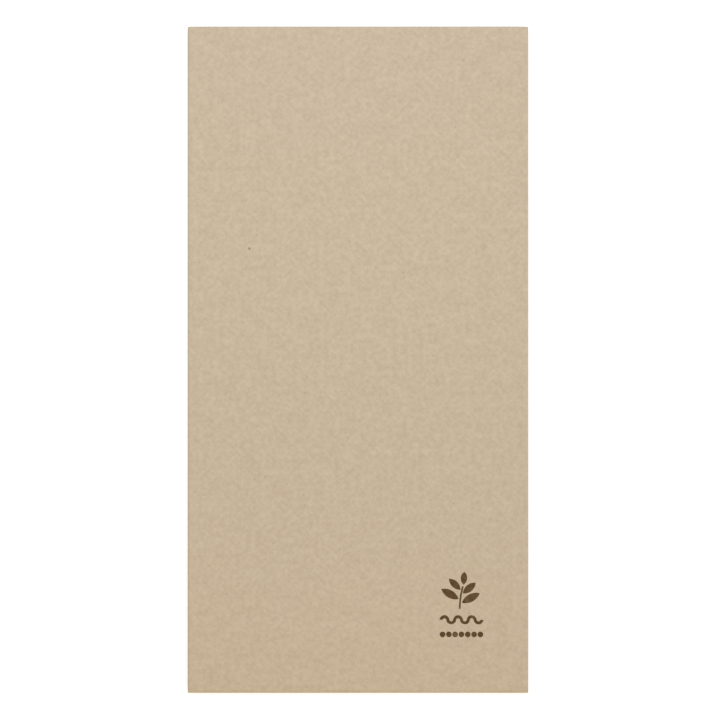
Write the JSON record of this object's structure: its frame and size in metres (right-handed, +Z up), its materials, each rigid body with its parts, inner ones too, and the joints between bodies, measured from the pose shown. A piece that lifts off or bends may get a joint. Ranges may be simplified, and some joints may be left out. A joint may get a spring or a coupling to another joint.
{
  "type": "folded paper napkin",
  "caption": "Soft brown paper napkin folded to a narrow layered rectangle, for wiping hands and for laying beside a plate at a place setting.",
  "frame": {"origin": "middle of the underside, on the surface that the napkin lies on", "axes": "+Z up out of the printed front panel, +Y along the folded length away from the cross fold, +X across the width towards the cut edges"},
  "size_m": [0.1, 0.1957, 0.0032],
  "materials": {
    "kraft_tissue": "soft, matt, unbleached tissue paper with a fine embossed grain"
  },
  "bodies": {
    "root": {"napkin": "kraft_tissue"}
  },
  "joints": []
}
